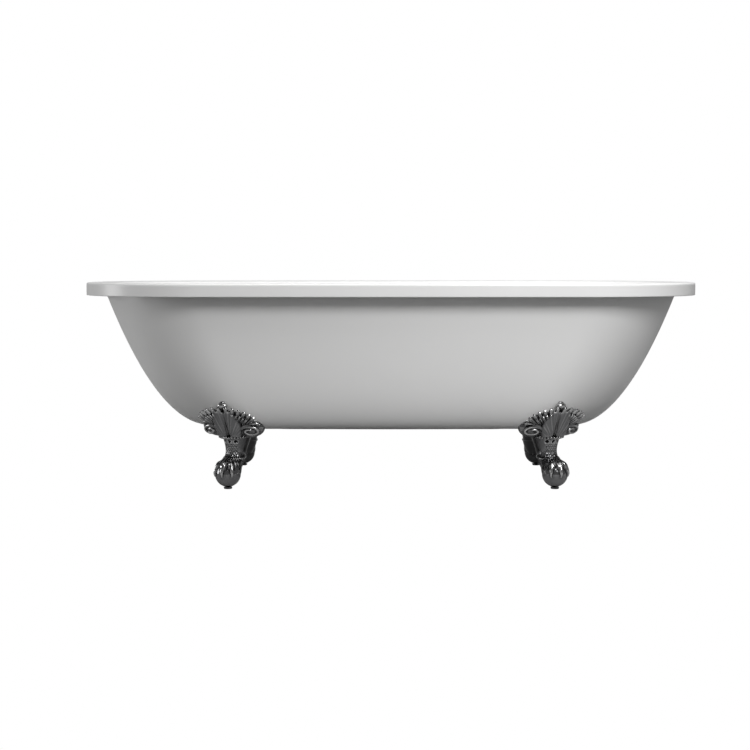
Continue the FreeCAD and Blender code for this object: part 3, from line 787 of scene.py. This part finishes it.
def chased(mesh):
    """Cut the fine ornament into the surface and seat the back on the bath."""
    spots, normals = spots_and_normals(mesh)
    spots = spots / MM
    x, out, z = spots[:, 0], -spots[:, 1], spots[:, 2]

    def band(value, low, high, soft):
        return np.clip((value - low) / soft, 0, 1) * np.clip((high - value) / soft, 0, 1)

    front = np.clip(-normals[:, 1] * 2, 0, 1)

    # Scales on the ankle: every other row is moved by half a scale.
    row = np.floor((z - SCALES_LOW) / SCALE_HIGH)
    scale_x = (x + np.where(row % 2 > 0, SCALE_WIDE / 2, 0)) / SCALE_WIDE
    scale_z = (z - SCALES_LOW) / SCALE_HIGH - row
    arch = np.hypot((scale_x - np.round(scale_x)) * 2, scale_z - 0.1)
    scaled = front * band(z, SCALES_LOW, 119, 3) * band(x, -19, 19, 2)
    lift = -SCALE_DEEP * np.clip(arch - 0.5, 0, 1) * scaled

    # Hair on the front of the paw: wavy lines that leave the wrist.
    around = np.arctan2(x, out + 30)
    strength = 0.75 + 0.4 * np.sin(z / 2.7 + 3 * around)
    hair = np.cos(HAIR_LINES * around + 1.6 * np.sin(z / 6)) * strength
    fading = np.clip(1 - np.hypot(x, np.minimum(out, 0) + 30) / 60, 0.3, 1)
    lift += hair * band(z, 46, 94, 9) * np.clip((out + 34) / 14, 0, 1) * fading

    for pit in PITS:
        away = np.hypot(x - pit, z - PIT_UP)
        lift -= PIT_DEEP * np.clip(1 - away / PIT_RADIUS, 0, 1) ** 0.5 * front

    # Fine flutes on the petals, of two widths, so that they aren't regular.
    fan = np.arctan2(x, z - 118)
    flutes = np.cos(38 * fan) + np.cos(61 * fan + 1)
    lift += FLUTE_DEEP * flutes * front * band(z, 142, 214, 14) * band(x, -44, 44, 8)
    spots += normals * lift[:, None]
    for index in np.nonzero(z > SEATED_FROM)[0]:
        spots[index, 1] = min(spots[index, 1], -flank(x[index], z[index]) - SEAT_GAP)
    spots[:, 2] = np.maximum(spots[:, 2], GLIDE_SEAT)
    mesh.vertices.foreach_set("co", (spots * MM).ravel())
    mesh.update()


chased(casting.data)

# %% [markdown]
# ## Drilling
# The glide's stud goes up into the ball, and two screws go up through the lug. A real foot is
# drilled for them after it is cast.

# %% Holes
STUD_HOLE, SCREW_HOLE, SCREW_BACK, SCREW_SPREAD = 4.3, 4.6, 98, 28

holes = [(0, 0, -2, 31, STUD_HOLE)]
holes += [(side * SCREW_SPREAD, -SCREW_BACK, 130, 160, SCREW_HOLE) for side in (-1, 1)]
drills = []
for x, out, low, high, radius in holes:
    middle, depth = at(x, out, (low + high) / 2), (high - low) * MM
    bpy.ops.mesh.primitive_cylinder_add(vertices=32, radius=radius * MM, depth=depth, location=middle)
    drills.append(bpy.context.object)
for drill in drills:
    drill.select_set(True)
bpy.ops.object.join()
drill = bpy.context.object
modify(casting, "BOOLEAN", object=drill, operation="DIFFERENCE", solver="EXACT")
bpy.data.objects.remove(drill)
print("after drilling the casting has", len(casting.data.polygons), "faces")

# %% [markdown]
# ## Hollows
# How deep a point lies is found by evening out the mesh and seeing which way the point moved.
# Five rounds show the fine lines, and forty the broad folds.

# %% Depth of the hollows
FINE_HOLLOW, WIDE_HOLLOW, DEEPEST = 5, 40, 0.32


def hollows(mesh):
    """Store how deep each point lies in a hollow, for the painted shade in hollows and the painted highlight
    on ridges.
    """
    spots, normals = spots_and_normals(mesh)
    ends = np.empty(len(mesh.edges) * 2, int)
    mesh.edges.foreach_get("vertices", ends)
    first, second = ends[::2], ends[1::2]
    neighbours = np.bincount(ends, minlength=len(spots))

    def averaged(values):
        total = np.zeros_like(values)
        np.add.at(total, first, values[second])
        np.add.at(total, second, values[first])
        return total / neighbours[:, None]

    flat, depth = spots, 0
    for turn in range(1, WIDE_HOLLOW + 1):
        flat = averaged(flat)
        if turn in (FINE_HOLLOW, WIDE_HOLLOW):
            depth = depth + np.sum((flat - spots) * normals, axis=1) / MM / turn**0.65
    depth = averaged(depth[:, None])[:, 0]
    store = mesh.attributes.new("hollow", "FLOAT", "POINT")
    store.data.foreach_set("value", np.clip(depth / DEEPEST, -1, 1).astype(np.float32))


hollows(casting.data)
smooth(casting, 60)

# %% [markdown]
# ## Dark chrome
# The plating is a dark grey chrome. Raised edges are painted lighter, a painted highlight, and hollows
# are painted near black, a painted shade, and are made rougher.

# %% Dark chrome
dark_chrome = Finish("dark_chrome", Metallic=1.0)
hollow = dark_chrome.node("ShaderNodeAttribute", {"attribute_name": "hollow"}, output=2)
# Painted shade: the deeper a hollow, the nearer black its colour is painted. It is also rougher there.
painted_shade_and_dullness = dark_chrome.node("ShaderNodeMapRange", {}, {"Value": hollow, "From Min": 0.06, "From Max": 0.72})
# Painted highlight: ridges and raised edges are painted a lighter grey.
painted_highlight = dark_chrome.node("ShaderNodeMapRange", {}, {"Value": hollow, "From Min": -0.18, "From Max": -0.75})
patches = dark_chrome.noise(60.0, 4.0)
plated = dark_chrome.mix(painted_highlight * (0.6 + patches * 0.4), (0.165, 0.165, 0.168, 1), (0.52, 0.52, 0.52, 1))
dark_chrome.feed(Base_Color=dark_chrome.mix(painted_shade_and_dullness, plated, (0.012, 0.012, 0.013, 1)),
                 Roughness=0.11 + painted_shade_and_dullness * 0.3 + patches * 0.05)
dark_chrome.bump(dark_chrome.noise(420.0, 2.0), 0.0002, 0.25)

for corner in CORNERS:
    foot = copied(casting, "claw_foot_" + corner, foot_matrix(corner))
    dress(foot, dark_chrome, "bath", "foot_chrome", "foot_" + corner)
bpy.data.objects.remove(casting)

# %% [markdown]
# ## Turned pieces
# The waste, the plug, the overflow and their rings come off a lathe. Half of the section is
# drawn as points of radius and height, and rings of points are extruded from one to the next.

# %% Turning
ROUND = 64


def lathe(name, section, count=ROUND, hollow=False):
    """A turned piece from the corners of half its section, in mm; a hollow one closes on itself."""
    corners = section + section[:1] if hollow else section
    spokes = [Vector((math.cos(angle), math.sin(angle), 0))
              for angle in (2 * math.pi * side / count for side in range(count))]
    rings = [[spoke * max(radius, 0.05) * MM + Vector((0, 0, height * MM)) for spoke in spokes]
             for radius, height in corners]
    piece = drawn(name, rings, closed=not hollow)
    if hollow:
        alone(piece)
        bpy.ops.object.mode_set(mode="EDIT")
        bpy.ops.mesh.select_all(action="SELECT")
        bpy.ops.mesh.remove_doubles(threshold=0.01 * MM)
        bpy.ops.mesh.normals_make_consistent(inside=False)
        bpy.ops.object.mode_set(mode="OBJECT")
    return piece


def thread(radius, low, high, pitch, depth):
    """The corners of a thread's section on the outside of a bar, from below. Its turns are rings."""
    corners = []
    for turn in range(int((high - low) / pitch)):
        corners += [(radius, low + turn * pitch + 0.3 * pitch), (radius - depth, low + (turn + 1) * pitch)]
    return corners


# %% [markdown]
# ## Metals, rubber, plastic and timber
# Bright chrome has faint wipe marks. Zinc has a mottled spangle. Rubber and nylon are dull and
# a little dusty, and the pipe is moulded plastic. The plywood has grain along the bath and
# plies in layers.

# %% Small finishes


def mottled(name, cloud, shades, sheen, grain, **fixed):
    """A finish that varies in clouds, with a fine grain.

    The cloud is its scale and detail, the sheen its roughness and how much that varies, and the
    grain its scale, detail, height in metres and strength.
    """
    finish = Finish(name, **fixed)
    clouds = finish.noise(*cloud)
    finish.feed(Base_Color=finish.mix(clouds, *shades), Roughness=sheen[0] + clouds * sheen[1])
    scale, detail, height, strength = grain
    finish.bump(finish.noise(scale, detail), height, strength)
    return finish


chrome = mottled("bright_chrome", (30.0, 5.0), ((0.78, 0.78, 0.79, 1), (0.84, 0.84, 0.85, 1)),
                 (0.04, 0.08), (900.0, 1.0, 0.00005, 0.2), Metallic=1.0)
brass = mottled("turned_brass", (80.0, 4.0), ((0.68, 0.52, 0.26, 1), (0.50, 0.36, 0.17, 1)),
                (0.22, 0.2), (700.0, 2.0, 0.0001, 0.3), Metallic=1.0)
black_steel = mottled("blackened_steel", (150.0, 4.0), ((0.06, 0.06, 0.065, 1), (0.16, 0.16, 0.165, 1)),
                      (0.3, 0.2), (600.0, 2.0, 0.0001, 0.4), Metallic=1.0)
rubber = mottled("black_rubber", (120.0, 6.0), ((0.018, 0.018, 0.018, 1), (0.06, 0.058, 0.055, 1)),
                 (0.6, 0.3), (1500.0, 2.0, 0.00008, 0.5))
nylon = mottled("dark_nylon", (200.0, 5.0), ((0.022, 0.022, 0.024, 1), (0.07, 0.07, 0.07, 1)),
                (0.42, 0.25), (900.0, 2.0, 0.00008, 0.4), IOR=1.53)
plastic = mottled("white_pipe_plastic", (40.0, 3.0), ((0.74, 0.74, 0.72, 1), (0.82, 0.82, 0.80, 1)),
                  (0.35, 0.2), (800.0, 2.0, 0.0001, 0.3), IOR=1.5)

zinc = Finish("zinc_plate", Metallic=1.0)
spangle = zinc.node("ShaderNodeTexVoronoi", {}, {"Vector": zinc.place(), "Scale": 260.0})
zinc.feed(Base_Color=zinc.mix(spangle * 1.4, (0.52, 0.53, 0.55, 1), (0.68, 0.69, 0.70, 1)),
          Roughness=0.32 + spangle * 0.25)
zinc.bump(zinc.noise(500.0, 3.0), 0.0001, 0.4)

plywood = Finish("birch_plywood")
stretched = plywood.node("ShaderNodeMapping", {}, {"Vector": plywood.place(), "Scale": (3.0, 60.0, 200.0)})
grain = plywood.noise(2.0, 8.0, at=stretched)
plies = plywood.node("ShaderNodeTexWave", {"bands_direction": "Z"},
                     {"Vector": plywood.place(), "Scale": 110.0, "Distortion": 0.6, "Detail": 2.0})
plywood.feed(
    Base_Color=plywood.mix(grain * 0.7 + plies * 0.3, (0.46, 0.31, 0.17, 1), (0.72, 0.56, 0.37, 1)),
    Roughness=0.5 + grain * 0.3)
plywood.bump(grain, 0.0006, 0.5)

for node in ("rim_core", "base_board", *("foot_block_" + corner for corner in CORNERS)):
    frame["nodes"][node].data.materials.clear()
    frame["nodes"][node].data.materials.append(plywood.material)

# %% [markdown]
# ## Glides and screws
# A glide is a hexagon on a threaded stud, so that it can be turned with a spanner to level the
# bath, and it stands on a nylon pad. The coach screws have the same hexagon over a washer.
# One of each is made and then copied.

# %% Glides
HEXAGON = 22 / 2 / math.cos(math.radians(30))


def hexagon(name, radius, low, high):
    """A six-sided head with its corners chamfered, in mm."""
    bpy.ops.mesh.primitive_cylinder_add(vertices=6, radius=radius * MM, depth=(high - low) * MM)
    head = bpy.context.object
    head.name = name
    bpy.ops.object.mode_set(mode="EDIT")
    bpy.ops.mesh.select_all(action="SELECT")
    bpy.ops.transform.rotate(value=math.radians(30), orient_axis="Z", center_override=(0, 0, 0))
    bpy.ops.transform.translate(value=(0, 0, (low + high) / 2 * MM))
    bpy.ops.object.mode_set(mode="OBJECT")
    modify(head, "BEVEL", width=0.5 * MM, segments=2, limit_method="ANGLE")
    return head


def joined(name, *parts):
    """Join pieces into the first of them."""
    alone(parts[0])
    for part in parts:
        part.select_set(True)
    bpy.ops.object.join()
    whole = bpy.context.object
    whole.name = name
    return smooth(whole, 30)


STUD_RADIUS, STUD_TOP = 3.9, 28
stud = [(0, 4), (STUD_RADIUS, 4)]
stud += thread(STUD_RADIUS, 4, STUD_TOP - 2, 1.25, 0.6)
stud += [(STUD_RADIUS - 1, STUD_TOP), (0, STUD_TOP)]
glide = joined("glide", hexagon("glide_head", HEXAGON, 2, 5), lathe("glide_stud", stud, 32))
pad = lathe("pad", [(0, 0), (9.4, 0), (10.6, 0.5), (10.8, 1.2), (10.6, 1.9), (9.8, 2), (0, 2)], 48)
smooth(pad)
for corner in CORNERS:
    body, place = "levelling_" + corner, foot_matrix(corner)
    dress(copied(glide, "levelling_glide_" + corner, place), black_steel, body, "glide_steel",
          "glide_" + corner)
    dress(copied(pad, "nylon_pad_" + corner, place), nylon, body, "glide_nylon",
          "glide_pad_" + corner)
for pattern in (glide, pad):
    bpy.data.objects.remove(pattern)

# %% [markdown]
# ## Coach screws
# Head, washer and shank are joined into one screw, and the eight copies into one piece.

# %% Screws
SCREW_TOP, HEAD_THICK, WASHER_THICK = 180, 5.5, 1
head_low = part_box("foot_screws")[0].z / MM
head = hexagon("screw_head", 13 / 2 / math.cos(math.radians(30)), head_low, head_low + HEAD_THICK - 1.2)
washer_low = head_low + 4.4
washer_high = washer_low + WASHER_THICK
washer = lathe("screw_washer", [(4.3, washer_low), (9, washer_low), (9, washer_high), (4.3, washer_high)],
               32, hollow=True)
shank_low = head_low + HEAD_THICK - 2
shank_side = [(0, shank_low), (3.9, shank_low)]
shank_side += thread(3.9, shank_low + 14, SCREW_TOP - 6, 2.5, 1.0)
shank = lathe("screw_shank", shank_side + [(0, SCREW_TOP)], 24)
screw = joined("screw", head, washer, shank)
screw_places = [Matrix.Translation(at(side * SCREW_SPREAD, -SCREW_BACK, 0)) for side in (-1, 1)]
screws = [copied(screw, "coach_screw", foot_matrix(corner) @ place)
          for corner in CORNERS for place in screw_places]
bpy.data.objects.remove(screw)
dress(joined("coach_screws", *screws), zinc, "bath", "zinc_steel", "foot_screws")

# %% [markdown]
# ## Waste
# The waste is one turned piece whose flange lies in the dish of the basin's floor, and its
# thread comes out under the bath. Three arms across its bore hold a guide for the plug's stem.

# %% Waste
WASTE_LOW, WASTE_HIGH = (corner.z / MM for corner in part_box("waste_body"))
NUT_LOW, NUT_HIGH = (corner.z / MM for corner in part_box("waste_nut"))
FLANGE, BORE, SEAT, SHANK, TAIL = 35, 20, 24, 25.4, 23.8
waste_side = [(BORE, WASTE_LOW + 1), (BORE + 1, WASTE_LOW), (TAIL - 1, WASTE_LOW)]
waste_side += thread(TAIL, WASTE_LOW, 171, 2, 0.8)
waste_side += [
    (TAIL, 172), (SHANK, 172), (SHANK, 205), (SHANK, 209.2), (FLANGE - 1, 209.2), (FLANGE, 210),
    (FLANGE - 0.3, 211), (FLANGE - 2, WASTE_HIGH), (SEAT + 3, WASTE_HIGH), (SEAT + 0.8, WASTE_HIGH - 0.6),
    (SEAT, 210), (SEAT, 208.4), (BORE + 0.6, 208), (BORE, 207)]
waste = lathe("waste_fitting", waste_side, 96, hollow=True)
smooth(waste, 32)
hub = lathe("plug_guide", [(3.7, 186), (7, 186), (7, 192), (3.7, 192)], 32, hollow=True)
arms = []
for turn in (30, 150, 270):
    bpy.ops.mesh.primitive_cube_add(size=1)
    arm = bpy.context.object
    bpy.ops.object.mode_set(mode="EDIT")
    bpy.ops.transform.resize(value=(14.6 * MM, 3 * MM, 5 * MM))
    bpy.ops.transform.translate(value=(13.4 * MM, 0, 188.5 * MM))
    bpy.ops.object.mode_set(mode="OBJECT")
    modify(arm, "BEVEL", width=0.8 * MM, segments=2)
    arms.append(placed(arm, Matrix.Rotation(math.radians(turn), 4, "Z")))
dress(joined("bath_waste", waste, hub, *arms), chrome, "bath", "bright_chrome", "waste_body")

nut = hexagon("nut_blank", 37, NUT_LOW, NUT_HIGH)
bpy.ops.mesh.primitive_cylinder_add(vertices=64, radius=(SHANK + 1) * MM, depth=40 * MM,
                                    location=(0, 0, NUT_LOW * MM))
nut_bore = bpy.context.object
modify(nut, "BOOLEAN", object=nut_bore, solver="EXACT")
bpy.data.objects.remove(nut_bore)
nut.name = "waste_back_nut"
dress(smooth(nut, 30), brass, "bath", "brass", "waste_nut")

SEAL_LOW, SEAL_HIGH = (corner.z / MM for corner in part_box("waste_seal"))
seal = lathe("waste_rubber", [(26.6, SEAL_LOW), (34, SEAL_LOW), (35, SEAL_LOW + 0.6), (35, SEAL_HIGH - 0.6),
                              (34, SEAL_HIGH), (26.6, SEAL_HIGH)], hollow=True)
dress(smooth(seal), rubber, "bath", "black_rubber", "waste_seal")

# %% [markdown]
# ## Plug
# A domed cap, a rubber ring in its groove and a stem that slides in the guide.

# %% Cap, ring and stem
CAP_LOW, CAP_TOP = (corner.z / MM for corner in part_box("plug_cap"))
RING_LOW, RING_HIGH = (corner.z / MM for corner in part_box("plug_seal"))
STEM_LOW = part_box("plug_stem")[0].z / MM
dome = [(31 * math.cos(math.radians(rise)) ** 0.9, CAP_LOW + 2.6 + 2.8 * math.sin(math.radians(rise)))
        for rise in (20, 35, 50, 65, 78)]
cap_side = [
    (0, CAP_LOW), (7.8, CAP_LOW), (8, RING_HIGH), (28, RING_HIGH), (30, RING_HIGH + 0.1),
    (31, RING_HIGH + 0.8), (30.8, RING_HIGH + 1.6)]
cap = lathe("plug_dome", cap_side + dome + [(2.5, CAP_TOP), (0, CAP_TOP)], 96)
dress(smooth(cap, 25), chrome, "plug", "bright_chrome", "plug_cap")
ring = lathe("plug_rubber", [
    (8.4, RING_LOW), (20.6, RING_LOW), (22.2, RING_LOW + 1.2), (22.2, RING_LOW + 2.4), (21, RING_LOW + 3),
    (22, RING_LOW + 3.8), (21.4, RING_HIGH), (8.4, RING_HIGH)], hollow=True)
dress(smooth(ring), rubber, "plug", "black_rubber", "plug_seal")
stem = lathe("plug_rod", [
    (0, STEM_LOW), (2.6, STEM_LOW), (3.45, STEM_LOW + 1), (3.45, 207.4), (7, 208), (8, 208.6),
    (8, CAP_LOW), (0, CAP_LOW)], 40)
dress(smooth(stem, 30), brass, "plug", "brass", "plug_stem")

# %% [markdown]
# ## Overflow
# The cover stands off the wall on a stem, so that water passes behind its edge and goes down
# the pipe between the two skins. The hole in the basin is cut with a boolean.

# %% Overflow
OVERFLOW_UP, OVERFLOW_BORE = 468, 16


def basin_wall(height):
    """How far back the basin's wall is at a height, in mm."""
    step = math.sqrt((height * MM - FLOOR) / (RIM_TOP - FLOOR))
    return cubic(BASIN["foot"][1], BASIN["pull"], BASIN["flare"], BASIN["top"][1], step)


wall_back = basin_wall(OVERFLOW_UP)
wall_tilt = math.atan(basin_wall(OVERFLOW_UP + 1) - wall_back)
overflow_seat = (Matrix.Translation(Vector((0, wall_back, OVERFLOW_UP)) * MM)
                 @ Matrix.Rotation(math.radians(90) - wall_tilt, 4, "X"))
drill = lathe("drill", [(0, -20), (OVERFLOW_BORE, -20), (OVERFLOW_BORE, 20), (0, 20)])
placed(drill, overflow_seat)
modify(basin, "BOOLEAN", object=drill, solver="EXACT")
bpy.data.objects.remove(drill)
smooth(basin)

cover = lathe("overflow_dome", [
    (0, -13), (4.4, -13), (5, -12.4), (5, 7), (6.5, 8), (31, 8), (32.6, 8.6), (33, 9.6), (32.8, 10.6),
    (31.6, 11.6), (28, 12.3), (20, 12.8), (8, 13), (0, 13)], 96)
dress(placed(smooth(cover, 30), overflow_seat), chrome, "bath", "bright_chrome", "overflow_cover")
collar = lathe("overflow_bush", [
    (14, -6.8), (15.6, -6.8), (15.6, 0.6), (22, 0.6), (23, 1.2), (22.4, 2.4), (21, 2.6), (14.6, 2.6),
    (14, 2)], hollow=True)
dress(placed(smooth(collar, 30), overflow_seat), chrome, "bath", "bright_chrome", "overflow_collar")

# %% [markdown]
# ## Overflow pipe
# The pipe leaves an elbow behind the overflow, goes down between the two walls and runs under
# the floor to a ring round the waste. The three are welded into one piece.

# %% Pipe
# The pipe's route: how far back and how high, in mm.
PIPE_ROUTE = ((298, 456), (300, 438), (289.5, 335), (271, 245), (258, 214), (237, 196), (208, 192), (30, 192))
PIPE_RADIUS, RING_OUTSIDE, RING_INSIDE = 10, 33, 25.8
pipe = rolled([Vector((0, back, up)) * MM for back, up in PIPE_ROUTE], [PIPE_RADIUS] * len(PIPE_ROUTE))
cast_parts.remove(pipe)
banjo = lathe("banjo", [(RING_INSIDE, 182), (RING_OUTSIDE - 1, 182), (RING_OUTSIDE, 183), (RING_OUTSIDE, 201),
                        (RING_OUTSIDE - 1, 202), (RING_INSIDE, 202)], hollow=True)
elbow = lathe("elbow", [(0, -21), (20, -21), (21, -20), (21, -7), (17, -7), (17, -17), (0, -17)], 48)
placed(elbow, overflow_seat)
dress(joined("overflow_pipework", pipe, banjo, elbow), plastic, "bath", "white_plastic", "overflow_pipe")

# %% [markdown]
# ## Floor
# The bath stands on white paper. The paper glows white to the camera, is dark to the bath, so
# that little light comes up from below, and is mid grey in the plating.

# %% Floor
bpy.ops.mesh.primitive_plane_add(size=60)
floor = bpy.context.object
floor.name = "studio_floor"
floor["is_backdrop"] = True
paper = Finish("white_paper")
seen = paper.node("ShaderNodeLightPath")
glow = paper.node("ShaderNodeEmission", {}, {"Color": grey(1)})
dark = paper.node("ShaderNodeBsdfDiffuse", {}, {"Color": grey(0.12)})
mirrored = paper.node("ShaderNodeLightPath", output=3)
brighter = paper.node("ShaderNodeBsdfDiffuse", {}, {"Color": grey(0.5)})
reflected = paper.node("ShaderNodeMixShader", {}, {0: mirrored, 1: dark, 2: brighter})
ground = paper.node("ShaderNodeMixShader", {}, {0: seen, 1: reflected, 2: glow})
paper.surface(ground)
floor.data.materials.append(paper.material)

# %% [markdown]
# ## Light
# Three soft lamps and a grey room. The camera sees the room white, and the plating sees it mid
# grey at the horizon and dark overhead, which gives the feet their contrast.

# %% Lights
world = bpy.data.worlds.new("studio")
bpy.context.scene.world = world
WORLD_GREY, ROOM_GREY, CEILING_GREY = 0.42, 0.27, 0.02
sky = Nodes(world)
upwards = sky.node("ShaderNodeSeparateXYZ", {}, {0: sky.node("ShaderNodeTexCoord")}, output=2)
fade = sky.node("ShaderNodeMapRange", {}, {
    "Value": upwards, "From Min": 0.35, "From Max": 0.7, "To Min": ROOM_GREY, "To Max": CEILING_GREY})
plain, room, white = (sky.node("ShaderNodeBackground", {}, {"Color": shade})
                      for shade in (grey(WORLD_GREY), fade, grey(1)))
to_camera, in_plating = (sky.node("ShaderNodeLightPath", output=ray) for ray in (0, 3))
dimmed = sky.node("ShaderNodeMixShader", {}, {0: in_plating, 1: plain, 2: room})
sky.surface(sky.node("ShaderNodeMixShader", {}, {0: to_camera, 1: dimmed, 2: white}))
bpy.context.scene.view_settings.view_transform = "Standard"


def softbox(name, place, aim, width, height, watts):
    """A soft rectangular lamp at a place, turned towards a point."""
    bpy.ops.object.light_add(type="AREA", location=place)
    lamp = bpy.context.object
    lamp.name = name
    lamp.rotation_euler = (Vector(aim) - Vector(place)).to_track_quat("-Z", "Y").to_euler()
    lamp.data.shape = "RECTANGLE"
    lamp.data.size, lamp.data.size_y, lamp.data.energy = width, height, watts
    return lamp


softbox("key", (0.75, -1.75, 1.45), (0.35, -0.3, 0.4), 0.9, 0.6, 21)
softbox("top", (0.5, -0.5, 2.6), (0.2, 0, 0.3), 3.0, 1.9, 44)
softbox("left_fill", (-2.6, 0.0, 0.5), (-0.8, 0, 0.4), 0.8, 0.8, 10)

# %% [markdown]
# ## Finish
# The box that holds every finished piece is found.

# %% Sizes and the last line
low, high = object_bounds()
